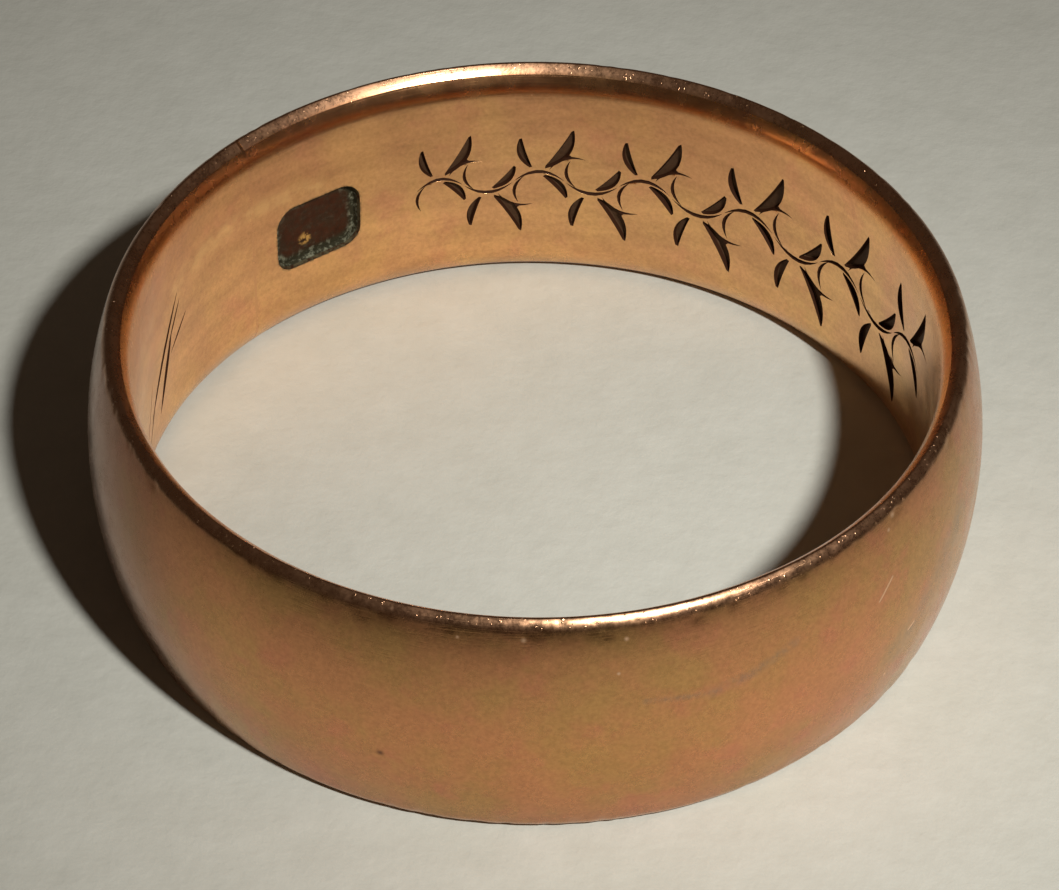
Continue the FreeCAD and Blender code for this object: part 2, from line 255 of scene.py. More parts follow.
def vine_cuts():
    """Stem, leaves and tendrils of the vine, growing in size along the bore."""
    first, last = VINE_SCALES
    scales = [first + (last - first) * i / (VINE_NODES - 1) for i in range(VINE_NODES)]
    span = math.radians(VINE_START - VINE_END) * BORE
    cuts = []
    w = along_bore(VINE_START)
    for i, scale in enumerate(scales):
        side = 1 if i % 2 == 0 else -1
        pitch = span * scale / sum(scales)
        node = np.array([w + pitch / 2, VINE_LEVEL + side * STEM_SWING * scale])
        cuts.append(
            Cut((w, VINE_LEVEL), 0.0, pitch, STEM_WIDTH * scale, side * STEM_SWING * scale,
                HAIRLINE_WALL, HAIRLINE_DEPTH)
        )
        for marks, wall, floor in (
            (LEAVES, LEAF_WALL, LEAF_DEPTH),
            (TENDRILS, HAIRLINE_WALL, HAIRLINE_DEPTH),
        ):
            for along, up, direction, length, width, bow in marks:
                start = node + scale * np.array([along, side * up])
                cuts.append(
                    Cut(start, side * math.radians(direction), length * scale, width * scale,
                        side * bow * scale, wall, floor)
                )
        w += pitch
    return cuts


def scratch_cuts():
    """The scratches of wear, as cuts that bend very slightly."""
    cuts = []
    for (angle_a, level_a), (angle_b, level_b), width, depth in SCRATCHES:
        a = np.array([along_bore(angle_a), level_a])
        b = np.array([along_bore(angle_b), level_b])
        run = b - a
        length = float(np.hypot(*run))
        cuts.append(
            Cut(a, math.atan2(run[1], run[0]), length, width, SCRATCH_BEND * length,
                2 * depth / width, depth)
        )
    return cuts


# ---------------------------------------------------------------- the punched cartouche
def recess_inside(points):
    """How far inside the cartouche's outline each point is, in mm."""
    offset = np.abs(points - np.array([along_bore(RECESS_ANGLE), RECESS_LEVEL]))
    beyond = offset - (np.array(RECESS_HALF) - RECESS_CORNER)
    outside = np.hypot(*np.maximum(beyond, 0).T)
    return RECESS_CORNER - outside - np.minimum(beyond.max(axis=1), 0)


def recess_depth(points):
    inside = recess_inside(points)
    lumps = np.c_[points, np.zeros(len(points))]
    floor = RECESS_DEPTH + ramp(inside, LUMPS_START, LUMPS_BLEND) * waves(lumps, RECESS_LUMPS)
    return np.clip(RECESS_WALL * inside, 0, floor)


def recess_contour(inset):
    """The cartouche's outline, moved inwards by the inset."""
    centre = np.array([along_bore(RECESS_ANGLE), RECESS_LEVEL])
    half = np.array(RECESS_HALF) - inset
    corner = RECESS_CORNER - inset
    outline = []
    for quarter in range(4):
        sign = np.array([(1, 1), (-1, 1), (-1, -1), (1, -1)][quarter])
        middle = centre + sign * (half - corner)
        for i in range(CORNER_SAMPLES):
            a = math.pi / 2 * (quarter + i / (CORNER_SAMPLES - 1))
            outline.append(middle + corner * np.array([math.cos(a), math.sin(a)]))
    return outline


# ---------------------------------------------------------------- triangulating the bore
# Spacing and clearance of the mesh's points, then how many points follow a cut.
GRID = 0.16
RECESS_GRID = 0.07
CLEAR_OF_CUTS = 0.05
CLEAR_OF_RECESS = 0.06
CLEAR_OF_RECESS_WALL = 0.03
MERGE_DISTANCE = 1e-4
ROUNDING = 1e-6
DEPTH_ROUNDING = 1e-5
LEAF_SAMPLES = 16
HAIRLINE_SAMPLES = 11
KEEL_SAMPLES = 8
CORNER_SAMPLES = 9

# A contour that would take this share of a cut's half width leaves no room for itself.
TOO_NARROW = 0.98
END_LEVELS = np.linspace(-CORE_END, CORE_END, 36)


class Plan:
    """The unrolled bore cut into triangles whose edges follow every cut."""

    def __init__(self, cuts):
        self.cuts = cuts
        self.points = []
        self.edges = []
        for cut in cuts:
            self.add_cut(cut)
        for depth in (0.0, SHEET, RECESS_DEPTH):
            self.add_loop(recess_contour(depth / RECESS_WALL))
        self.add_grid()
        flat = [Vector(p) for p in self.points]
        verts, _, faces, _, _, _ = geometry.delaunay_2d_cdt(
            flat, self.edges, [], 0, MERGE_DISTANCE
        )
        self.points = np.array([tuple(v) for v in verts])
        self.faces = np.array([self.upright(f) for f in faces if len(f) == 3])

    def upright(self, face):
        a, b, c = (self.points[i] for i in face)
        area = (b[0] - a[0]) * (c[1] - a[1]) - (b[1] - a[1]) * (c[0] - a[0])
        return face if area > 0 else face[::-1]

    def add_loop(self, outline, closed=True):
        first = len(self.points)
        self.points += [tuple(map(float, p)) for p in outline]
        count = len(outline)
        self.edges += [(first + i, first + i + 1) for i in range(count - 1)]
        if closed:
            self.edges.append((first + count - 1, first))

    def add_cut(self, cut):
        samples = LEAF_SAMPLES if cut.floor == LEAF_DEPTH else HAIRLINE_SAMPLES
        self.add_loop(cut.contour(0.0, samples))
        for depth in (SHEET, cut.floor):
            outline = cut.contour(depth, samples) if depth <= cut.floor else None
            if outline:
                self.add_loop(outline)
        if cut.wall * cut.width / 2 <= cut.floor + ROUNDING:
            self.add_loop(cut.keel(KEEL_SAMPLES), closed=False)

    def add_grid(self):
        """Rows of points that stay clear of the cuts, and a finer patch in the cartouche."""
        columns = np.linspace(W_FIRST, W_LAST, int((W_LAST - W_FIRST) / GRID) + 1)
        border = [(w, z) for w in columns for z in (-CORE_END, CORE_END)]
        border += [(w, z) for w in (W_FIRST, W_LAST) for z in END_LEVELS[1:-1]]
        step = columns[1] - columns[0]
        rows = [
            (w + (step / 2 if row % 2 else 0), z)
            for row, z in enumerate(END_LEVELS[1:-1])
            for w in columns[1:-2]
        ]
        cx = along_bore(RECESS_ANGLE)
        patch = [
            (cx + x, RECESS_LEVEL + z)
            for x in np.arange(-RECESS_HALF[0], RECESS_HALF[0], RECESS_GRID)
            for z in np.arange(-RECESS_HALF[1], RECESS_HALF[1], RECESS_GRID)
        ]
        rows = np.array(rows)
        patch = np.array(patch)
        floor_edge = RECESS_DEPTH / RECESS_WALL
        rows = rows[recess_inside(rows) < -CLEAR_OF_RECESS]
        patch = patch[recess_inside(patch) > floor_edge + CLEAR_OF_RECESS_WALL]
        for cut in self.cuts:
            rows = rows[self.clear_of(cut, rows)]
        self.columns = columns
        self.points += [tuple(map(float, p)) for p in border]
        self.points += [tuple(map(float, p)) for p in rows]
        self.points += [tuple(map(float, p)) for p in patch]

    @staticmethod
    def clear_of(cut, points):
        """Which points are far enough from a cut to be part of the grid."""
        offset = points - cut.start
        t = np.clip(offset @ cut.axis / cut.length, 0, 1)
        crown = 4 * t * (1 - t)
        nearest = cut.start + np.outer(t * cut.length, cut.axis) + np.outer(cut.bow * crown, cut.left)
        gap = np.hypot(*(points - nearest).T) - cut.width / 2 * crown
        return gap > CLEAR_OF_CUTS

    def depth(self):
        total = recess_depth(self.points)
        for cut in self.cuts:
            total = np.maximum(total, cut.depth(self.points))
        return total

    def grime(self):
        """Depth in mm inside the cuts, 0 on their outlines and below 0 outside them."""
        level = RECESS_WALL * recess_inside(self.points)
        for cut in self.cuts:
            level = np.maximum(level, cut.wall * cut.inside(self.points))
        return np.clip(level, -SHEET, SHEET)


def rolled(w, level, radius):
    """Points of the ring in mm, from unrolled places and distances to the axis."""
    return turned(radius, JOINT - np.asarray(w) / BORE, level)


# ---------------------------------------------------------------- making objects
SHARP_EDGE = math.radians(24)


def new_piece(name, points_mm, faces, values=None, uv=None):
    """A mesh object on body root.  values holds named numbers, and uv a place, for each vertex."""
    mesh = bpy.data.meshes.new(name)
    mesh.from_pydata((np.asarray(points_mm) * MM).tolist(), [], [list(map(int, f)) for f in faces])
    mesh.validate()
    for key, numbers in (values or {}).items():
        layer = mesh.attributes.new(key, "FLOAT", "POINT")
        layer.data.foreach_set("value", np.asarray(numbers, dtype=np.float32))
    if uv is not None:
        corners = np.empty(len(mesh.loops), dtype=np.int32)
        mesh.loops.foreach_get("vertex_index", corners)
        layer = mesh.uv_layers.new(name="Unrolled")
        layer.data.foreach_set("uv", np.asarray(uv, dtype=np.float32)[corners].ravel())
    mesh.shade_smooth()
    mesh.set_sharp_from_angle(angle=SHARP_EDGE)
    piece = bpy.data.objects.new(name, mesh)
    bpy.context.scene.collection.objects.link(piece)
    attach(piece, "root")
    return piece


def border_edges(faces):
    """Directed edges that only one face uses."""
    edges = np.concatenate([faces[:, [0, 1]], faces[:, [1, 2]], faces[:, [2, 0]]])
    seen = {tuple(e) for e in edges.tolist()}
    return [e for e in seen if (e[1], e[0]) not in seen]


# Where a zone starts beside a rim, as a height, and over how many mm it fades in.
INNER_RIM_ZONE = (2.1, 0.5)
OUTER_RIM_ZONE = (2.35, 0.5)
CREST_ZONE = (CORE_END - 0.05, 0.12)


def make_lining(plan):
    """Gold lining: the bore wall down to the sheet's back, open where a cut goes right through."""
    w, z = plan.points.T
    depth = plan.depth()
    through = depth >= SHEET - DEPTH_ROUNDING
    wall = inner_wall(z) + inner_relief(JOINT - w / BORE, z)
    front = rolled(w, z, wall + np.minimum(depth, SHEET))
    back = rolled(w, z, wall + SHEET)
    count = len(front)
    back_index = np.where(through, np.arange(count), np.arange(count) + count)
    kept = plan.faces[~through[plan.faces].all(axis=1)]
    faces = kept.tolist() + back_index[kept[:, ::-1]].tolist()
    outer = border_edges(plan.faces)
    for a, b in outer:
        faces.append([b, a, int(back_index[a]), int(back_index[b])])
    used = np.zeros(2 * count, dtype=bool)
    for face in faces:
        used[face] = True
    renumber = np.cumsum(used) - 1
    points = np.concatenate([front, back])[used]
    faces = [[int(renumber[i]) for i in face] for face in faces]
    grime = np.concatenate([plan.grime(), np.full(count, SHEET)])[used]
    near = np.tile(recess_inside(plan.points), 2)[used]
    uv = np.tile(np.c_[w, z], (2, 1))[used]
    piece = new_piece(
        "gold_lining_engraved", points, faces,
        {"cut": grime, "recess": near, "rim": ramp(np.abs(points[:, 2]), *INNER_RIM_ZONE)}, uv,
    )
    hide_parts("inner_gold_lining")
    return piece


CORE_ROWS = 13


def dome_x(radius, level):
    """How far from the axis an arc about the dome's centre is, at a height."""
    return CROWN - DOME_RADIUS + math.sqrt(radius**2 - level**2)


def make_core(plan):
    """Base-metal core: its inner face takes the bottoms of the cuts and of the cartouche."""
    w, z = plan.points.T
    depth = np.maximum(plan.depth(), SHEET)
    wall = inner_wall(z) + inner_relief(JOINT - w / BORE, z)
    inner = rolled(w, z, wall + depth)
    rows = np.linspace(-CORE_END, CORE_END, CORE_ROWS)
    dome = np.array([dome_x(DOME_RADIUS - SHEET, level) for level in rows])
    columns = plan.columns
    first = len(inner)
    outer = np.concatenate(
        [rolled(columns, np.full(len(columns), level), x) for level, x in zip(rows, dome)]
    )

    def outer_index(row, column):
        return first + row * len(columns) + column

    faces = plan.faces.tolist()
    for row in range(len(rows) - 1):
        for column in range(len(columns) - 1):
            faces.append([
                outer_index(row, column),
                outer_index(row + 1, column),
                outer_index(row + 1, column + 1),
                outer_index(row, column + 1),
            ])
    step = columns[1] - columns[0]
    ends = {W_FIRST: [], W_LAST: []}
    for a, b in border_edges(plan.faces):
        wa, wb = float(w[a]), float(w[b])
        if abs(wa - wb) < ROUNDING:
            ends[min(ends, key=lambda x: abs(x - wa))].append((a, b))
            continue
        row = 0 if z[a] < 0 else len(rows) - 1
        faces.append([
            b, a,
            outer_index(row, round((wa - W_FIRST) / step)),
            outer_index(row, round((wb - W_FIRST) / step)),
        ])
    for end, column in ((W_FIRST, 0), (W_LAST, len(columns) - 1)):
        chain = sorted({i for edge in ends[end] for i in edge}, key=lambda i: z[i])
        dome_side = [outer_index(row, column) for row in range(len(rows))]
        cap = chain + dome_side[::-1]
        faces.append(cap if end == W_FIRST else cap[::-1])
    inside = np.concatenate([recess_inside(plan.points), np.full(len(outer), -1.0)])
    uv = np.concatenate([np.c_[w, z], outer[:, [0, 2]]])
    piece = new_piece("base_metal_cut_floors", np.concatenate([inner, outer]), faces,
                      {"recess": inside}, uv)
    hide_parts("base_metal_core")
    return piece


# ---------------------------------------------------------------- rim, dome and joint
SHOULDER_POINTS = 4
RIM_ARC_POINTS = 7
DOME_POINTS = 36
SHELL_BACK_ROWS = 7
SHELL_COLUMNS = 900
SOLDER_ROWS = 30
SOLDER_COLUMNS = 4


def arc_points(centre, radius, first, last, count):
    """Points evenly along an arc between two directions from its centre."""
    angles = np.linspace(first, last, count)
    return [(centre[0] + radius * math.cos(a), centre[1] + radius * math.sin(a)) for a in angles]


def outside_outline():
    """Upper half of the section's outside, from the lining's edge round to the crown."""
    start = math.pi - math.asin((CORE_END - SHOULDER[1]) / SHOULDER_RADIUS)
    turn = math.pi - math.atan2(CREST[1] - SHOULDER[1], SHOULDER[0] - CREST[0])
    lift = math.atan2(FLANK[1], FLANK[0] - CROWN + DOME_RADIUS)
    points = arc_points(SHOULDER, SHOULDER_RADIUS, start, turn, SHOULDER_POINTS)
    points += arc_points(CREST, CREST_RADIUS, turn, FLANK_START, RIM_ARC_POINTS)[1:]
    points += arc_points(FLANK, FLANK_RADIUS, FLANK_START, lift, RIM_ARC_POINTS)[1:]
    points += arc_points((CROWN - DOME_RADIUS, 0), DOME_RADIUS, lift, 0.0, DOME_POINTS)[1:]
    return points


def mirrored(points):
    """An outline carried on by its mirror image below the middle of the band."""
    return points + [(x, -z) for x, z in points[-2::-1]]


def outline_normals(points):
    """Directions square to an outline, pointing out of the metal."""
    points = np.asarray(points)
    step = np.gradient(points, axis=0)
    step /= np.hypot(*step.T)[:, None]
    return np.stack([-step[:, 1], step[:, 0]], axis=1)


# How many nicks and dents there are, and from where to where their heights, sizes and depths go.
RIM_NICKS = 240
NICK_LEVELS = (2.72, RIM)
NICK_SIZES = (0.05, 0.16)
NICK_DEPTHS = (0.006, 0.02)
DOME_DENTS = 90
DENT_LEVELS = (-2.6, 2.6)
DENT_SIZES = (0.06, 0.3)
DENT_DEPTHS = (0.002, 0.006)
NICK_REACH = 3

# The wear of the outside fades in just outside the bore's radius.
WEAR_START = BORE + 0.2
WEAR_BLEND = 0.12


class Wear:
    """The nicks on the rims and the shallow dents in the dome."""

    def __init__(self, seed):
        draw = np.random.default_rng(seed)
        self.nicks = []
        for _ in range(RIM_NICKS):
            angle = draw.uniform(0, FULL_TURN)
            side = draw.choice([-1.0, 1.0])
            level = side * draw.uniform(*NICK_LEVELS)
            self.nicks.append((angle, level, draw.uniform(*NICK_SIZES), draw.uniform(*NICK_DEPTHS)))
        for _ in range(DOME_DENTS):
            angle = draw.uniform(0, FULL_TURN)
            level = draw.uniform(*DENT_LEVELS)
            self.nicks.append((angle, level, draw.uniform(*DENT_SIZES), draw.uniform(*DENT_DEPTHS)))

    def depth(self, points):
        """How far worn below the ideal surface at points in mm."""
        total = np.zeros(len(points))
        for angle, level, size, depth in self.nicks:
            middle = turned(dome_x(DOME_RADIUS, level), angle, level)
            near = np.abs(points[:, 2] - level) < NICK_REACH * size
            gap = ((points[near] - middle) ** 2).sum(axis=1)
            total[near] = np.maximum(total[near], depth * np.exp(-gap / size**2))
        return total


def swept_outside(outline, angles, wear, sink=0.0):
    """The outline turned through the angles, with the ring's wear, as rows of points."""
    outline = np.asarray(outline)
    normals = outline_normals(outline)
    ideal = np.stack(
        [
            np.outer(outline[:, 0], np.cos(angles)),
            np.outer(outline[:, 0], np.sin(angles)),
            np.repeat(outline[:, 1:], len(angles), axis=1),
        ],
        axis=-1,
    )
    flat = ideal.reshape(-1, 3)
    turn = np.tile(angles, len(outline))
    level = flat[:, 2]
    outward = np.repeat(normals, len(angles), axis=0)
    outside = ramp((flat[:, :2] ** 2).sum(axis=1) ** 0.5, WEAR_START, WEAR_BLEND)
    soft = waves(flat, OUTER_WAVES) - sum(height for height, _, _ in OUTER_WAVES)
    height = outside * (soft - wear.depth(flat)) - sink
    radial = (1 - outside) * inner_relief(turn, level) + outward[:, 0] * height
    flat = flat + np.stack(
        [radial * np.cos(turn), radial * np.sin(turn), outward[:, 1] * height], axis=-1
    )
    return flat.reshape(len(outline), len(angles), 3)


def tube_faces(rows, columns):
    """Quads of a closed outline swept along columns, and a cap at each end."""
    faces = []
    for i in range(rows):
        following = (i + 1) % rows
        for j in range(columns - 1):
            faces.append([
                i * columns + j,
                following * columns + j,
                following * columns + j + 1,
                i * columns + j + 1,
            ])
    faces.append([i * columns for i in range(rows)][::-1])
    faces.append([i * columns + columns - 1 for i in range(rows)])
    return faces


def make_shell(wear):
    """Outer gold sheet, worn, turned over both rims."""
    outside = mirrored(outside_outline())
    hidden = [(dome_x(DOME_RADIUS - SHEET, level), level)
              for level in np.linspace(-CORE_END, CORE_END, SHELL_BACK_ROWS)]
    half_joint = SOLDER_ANGLE / 2
    angles = np.linspace(JOINT + half_joint, JOINT + FULL_TURN - half_joint, SHELL_COLUMNS)
    seen = swept_outside(outside, angles, wear)
    back = np.stack([turned(x, angles, np.full(len(angles), z)) for x, z in hidden])
    points = np.concatenate([seen, back])
    rows, columns = points.shape[:2]
    length = np.concatenate([[0], np.cumsum(np.hypot(*np.diff(np.array(outside), axis=0).T))])
    along = np.concatenate([length, np.full(len(hidden), length[-1])])
    turn = (angles - angles[0]) * CROWN
    uv = np.stack(np.meshgrid(turn, along), axis=-1).reshape(-1, 2)
    levels = np.abs(np.array([z for _, z in outside + hidden]))
    rim = np.repeat(ramp(levels, *OUTER_RIM_ZONE), columns)
    crest = np.repeat(ramp(levels, *CREST_ZONE), columns)
    piece = new_piece("gold_shell_worn", points.reshape(-1, 3), tube_faces(rows, columns),
                      {"rim": rim, "crest": crest}, uv)
    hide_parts("outer_gold_shell")
    return piece


def make_solder(wear):
    """The soldered joint, slightly sunk between the ends of the strip."""
    outside = mirrored(outside_outline())
    levels = np.linspace(-CORE_END, CORE_END, SOLDER_ROWS)[1:-1]
    angles = np.linspace(JOINT - SOLDER_ANGLE / 2, JOINT + SOLDER_ANGLE / 2, SOLDER_COLUMNS)
    seen = swept_outside(outside, angles, wear, SOLDER_SINK)
    turn, level = np.meshgrid(angles, levels)
    inner = turned(inner_wall(level) + inner_relief(turn, level), turn, level)
    points = np.concatenate([seen, inner])
    piece = new_piece("solder_seam", points.reshape(-1, 3), tube_faces(*points.shape[:2]))
    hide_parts("joint_solder")
    return piece


# ---------------------------------------------------------------- materials
HAIR_WIDTH = 0.022


class Shader:
    """Short ways to make and join the nodes of one material."""

    def __init__(self, name):
        self.material = bpy.data.materials.new(name)
        self.material.use_nodes = True
        self.tree = self.material.node_tree
        self.tree.nodes.clear()
        self.out = self.tree.nodes.new("ShaderNodeOutputMaterial")
        self.surface = self.tree.nodes.new("ShaderNodeBsdfPrincipled")
        self.tree.links.new(self.surface.outputs[0], self.out.inputs["Surface"])
        place = self.tree.nodes.new("ShaderNodeTexCoord")
        self.place = self.scaled(place.outputs["Object"], 1 / MM)

    def put(self, socket, value):
        if isinstance(value, bpy.types.NodeSocket):
            self.tree.links.new(value, socket)
        else:
            socket.default_value = value

    def scaled(self, vector, size, turn=0.0, stretch=(1, 1, 1)):
        node = self.tree.nodes.new("ShaderNodeMapping")
        self.put(node.inputs["Vector"], vector)
        node.inputs["Rotation"].default_value = (0, 0, turn)
        node.inputs["Scale"].default_value = tuple(size * s for s in stretch)
        return node.outputs[0]

    def unrolled(self):
        node = self.tree.nodes.new("ShaderNodeUVMap")
        node.uv_map = "Unrolled"
        return node.outputs[0]

    def attribute(self, name):
        node = self.tree.nodes.new("ShaderNodeAttribute")
        node.attribute_name = name
        return node.outputs["Fac"]

    def noise(self, size, detail=2.0, rough=0.5, vector=None, seed=0.0):
        """Noise in 0..1 with features of about `size` mm."""
        node = self.tree.nodes.new("ShaderNodeTexNoise")
        node.noise_dimensions = "4D"
        self.put(node.inputs["Vector"], self.place if vector is None else vector)
        node.inputs["W"].default_value = seed
        node.inputs["Scale"].default_value = 1 / size
        node.inputs["Detail"].default_value = detail
        node.inputs["Roughness"].default_value = rough
        return node.outputs["Fac"]

    def between(self, value, low, high, to_low=0.0, to_high=1.0):
        """Smooth step of a value from low..high onto to_low..to_high."""
        node = self.tree.nodes.new("ShaderNodeMapRange")
        node.interpolation_type = "SMOOTHSTEP"
        self.put(node.inputs["Value"], value)
        node.inputs["From Min"].default_value = low
        node.inputs["From Max"].default_value = high
        node.inputs["To Min"].default_value = to_low
        node.inputs["To Max"].default_value = to_high
        return node.outputs["Result"]

    def math(self, operation, a, b=0.0, c=0.0):
        node = self.tree.nodes.new("ShaderNodeMath")
        node.operation = operation
        for socket, value in zip(node.inputs, (a, b, c)):
            self.put(socket, value)
        return node.outputs[0]

    def plus(self, a, b):
        return self.math("ADD", a, b)

    def times(self, a, b):
        return self.math("MULTIPLY", a, b)

    def most(self, a, b):
        return self.math("MAXIMUM", a, b)

    def mix(self, amount, a, b, blend="MIX"):
        node = self.tree.nodes.new("ShaderNodeMix")
        node.data_type = "RGBA"
        node.blend_type = blend
        self.put(node.inputs["Factor"], amount)
        for socket, value in ((node.inputs["A"], a), (node.inputs["B"], b)):
            self.put(socket, value if isinstance(value, bpy.types.NodeSocket) else (*value, 1.0))
        return node.outputs["Result"]

    def along_axis(self, letter):
        """How far along the object's X, Y or Z, in mm."""
        node = self.tree.nodes.new("ShaderNodeSeparateXYZ")
        self.put(node.inputs[0], self.place)
        return node.outputs[letter]

    def shaded(self, colour, amount):
        """A colour made lighter or darker by an amount near 1."""
        node = self.tree.nodes.new("ShaderNodeCombineColor")
        for socket in node.inputs:
            self.put(socket, amount)
        return self.mix(1.0, colour, node.outputs[0], "MULTIPLY")

    def drifting_height(self, size, seed, drift=1.2):
        """Height in mm, pushed up and down by broad noise so that nothing ends in a line."""
        wander = self.math("SUBTRACT", self.noise(size, 3.0, 0.6, seed=seed), 0.5)
        return self.plus(self.along_axis("Z"), self.times(wander, 2 * drift))

    def vector_math(self, operation, a, b):
        node = self.tree.nodes.new("ShaderNodeVectorMath")
        node.operation = operation
        self.put(node.inputs[0], a)
        self.put(node.inputs["Scale"] if operation == "SCALE" else node.inputs[1], b)
        return node.outputs["Value" if operation in ("DISTANCE", "DOT_PRODUCT") else "Vector"]

    def spot(self, centre_mm, radius_mm):
        """1 at a point of the object, falling to 0 at the radius."""
        gap = self.vector_math("DISTANCE", self.place, centre_mm)
        return self.between(gap, 0.0, radius_mm, 1.0, 0.0)

    def stroke(self, start_mm, end_mm, half_width_mm):
        """1 along the line between two points of the object, falling to 0 beside it."""
        run = Vector(end_mm) - Vector(start_mm)
        offset = self.vector_math("SUBTRACT", self.place, start_mm)
        part = self.vector_math("DOT_PRODUCT", offset, run / run.length_squared)
        part = self.math("MINIMUM", self.most(part, 0.0), 1.0)
        along = self.vector_math("SCALE", tuple(run), part)
        gap = self.vector_math("DISTANCE", offset, along)
        return self.between(gap, 0.0, half_width_mm, 1.0, 0.0)

    def strokes(self, lines, place):
        """1 along any of the lines, whose ends `place` puts on the object."""
        total = 0.0
        for start, end, half_width_mm in lines:
            total = self.most(total, self.stroke(place(*start), place(*end), half_width_mm))
        return total

    def scratches(self, turn, length, gap, keep, seed):
        """Hair-thin lines on the unrolled surface, at an angle, about `length` mm long."""
        stretched = self.scaled(self.unrolled(), 1.0, turn, (1 / length, 1 / gap, 1))
        lines = self.noise(1.0, 0.0, 0.5, stretched, seed)
        beside = self.math("ABSOLUTE", self.math("SUBTRACT", lines, 0.5))
        thin = self.between(beside, 0.0, HAIR_WIDTH, 1.0, 0.0)
        where = self.between(self.noise(1.7, 1.0, 0.5, None, seed + 7), keep, keep + 0.08)
        return self.times(thin, where)

    def bump(self, height, distance_mm, after=None):
        """A normal for relief of a height from 0 to the distance, on top of another normal."""
        node = self.tree.nodes.new("ShaderNodeBump")
        self.put(node.inputs["Height"], height)
        node.inputs["Distance"].default_value = distance_mm * MM
        node.inputs["Strength"].default_value = 1.0
        if after is not None:
            self.put(node.inputs["Normal"], after)
        return node.outputs[0]

    def finish(self, colour, rough, metal, normal, gloss=0.5):
        """Joins all to the surface.  gloss is the mirror shine of the parts that aren't metal."""
        for name, value in (
            ("Base Color", colour),
            ("Roughness", rough),
            ("Metallic", metal),
            ("Specular IOR Level", gloss),
            ("Normal", normal),
        ):
            self.put(self.surface.inputs[name], value)
        return self.material


RED_GOLD = (0.68, 0.31, 0.145)
OCHRE_GOLD = (0.61, 0.335, 0.13)
ROSE_GOLD = (0.71, 0.275, 0.155)
PALE_GOLD = (0.77, 0.43, 0.21)
PALE_OCHRE = (0.84, 0.50, 0.22)
PALE_ROSE = (0.78, 0.38, 0.21)
SOLDER_GOLD = (0.70, 0.39, 0.19)
CREST_TONE = (0.62, 0.36, 0.22)
BARE_GOLD_AND_GLINT = (0.97, 0.62, 0.40)
# Colour of the painted highlight streak inside the bore.
HIGHLIGHT_STREAK_GOLD = (0.95, 0.60, 0.27)
# Brown of the dirt beside the rims and in the pit, and of the painted shade towards -X.
BROWN_DIRT_AND_SHADE = (0.20, 0.09, 0.05)
GREY_FILM = (0.30, 0.24, 0.19)
# Tints of the painted shade inside the bore: unshaded low down, shaded high up.
UNSHADED_TINT = (1.03, 1.03, 1.03)
PAINTED_SHADE_TINT = (0.81, 0.73, 0.72)
CUT_GRIME = (0.036, 0.014, 0.007)
GREEN_STAIN = (0.10, 0.09, 0.05)
FLECK_GOLD = (0.40, 0.22, 0.06)

# Pairs of tones, dark and light, that a grain mixes.
BASE_METAL = ((0.050, 0.024, 0.012), (0.105, 0.056, 0.030))
RED_COPPER = ((0.018, 0.009, 0.004), (0.075, 0.022, 0.009))
VERDIGRIS = ((0.030, 0.027, 0.015), (0.20, 0.20, 0.14))
FLOOR_TONES = ((0.47, 0.47, 0.42), (0.58, 0.58, 0.53))

# Marks in the colour.  A line is ((angle, level), (angle, level), half width), and a speck or pit
# is (angle, level, radius).
GREY_SMUDGE = [((-22, 0.8), (-30, 0), 0.75), ((-30, 0), (-38, -0.8), 0.6)]
GREY_STREAK = [
    ((-56.5, 1.33), (-61.6, 1.03), 0.2),
    ((-62.4, 1.0), (-68.2, 0.82), 0.22),
    ((-68.2, 0.82), (-76.5, 0.97), 0.12),
]
# The bright lines and specks are bared gold, partly painted highlight: they stand for the glints of
# these marks too.
BRIGHT_LINES = [((-39.9, 1.39), (-42.6, 1.03), 0.05), ((-36.0, -0.59), (-34.9, -0.52), 0.06)]
BRIGHT_SPECKS = [
    (-38.1, 2.74, 0.1),
    (-39.4, 2.51, 0.07),
    (-39.8, -1.49, 0.06),
    (-78.6, 2.53, 0.08),
    (-79.7, 1.76, 0.06),
    (-91.2, 2.62, 0.09),
    (-99.3, 2.59, 0.06),
    (-107.9, 2.95, 0.1),
]
PIT = (-108.7, -0.82, 0.13)
# Line of the painted highlight on a soft ridge above the cartouche.
HIGHLIGHT_STREAK_LINES = [((157, 1.0), (143.7, 1.17), 0.5), ((143.7, 1.17), (126, 0.95), 0.4)]


def band_point(angle_degrees, level):
    """A point on the outside, for placing a mark."""
    return tuple(turned(dome_x(DOME_RADIUS, level), math.radians(angle_degrees), level))


def bore_point(angle_degrees, level, depth=0.0):
    """A point on the inner wall, or a depth below it, for placing a mark."""
    return tuple(turned(BORE + depth, math.radians(angle_degrees), level))


def mottled_gold(s, base, ochre, rose):
    """Gold whose tone drifts in patches and in a fine grain."""
    patches = s.between(s.noise(1.6, 4.0, 0.6, seed=1.0), 0.38, 0.66)
    blush = s.between(s.noise(1.1, 4.0, 0.62, seed=2.0), 0.5, 0.72)
    colour = s.mix(patches, base, ochre)
    colour = s.mix(s.times(blush, 0.7), colour, rose)
    grain = s.between(s.noise(0.09, 3.0, 0.65, seed=3.0), 0.25, 0.75, 0.86, 1.1)
    return s.shaded(colour, grain)


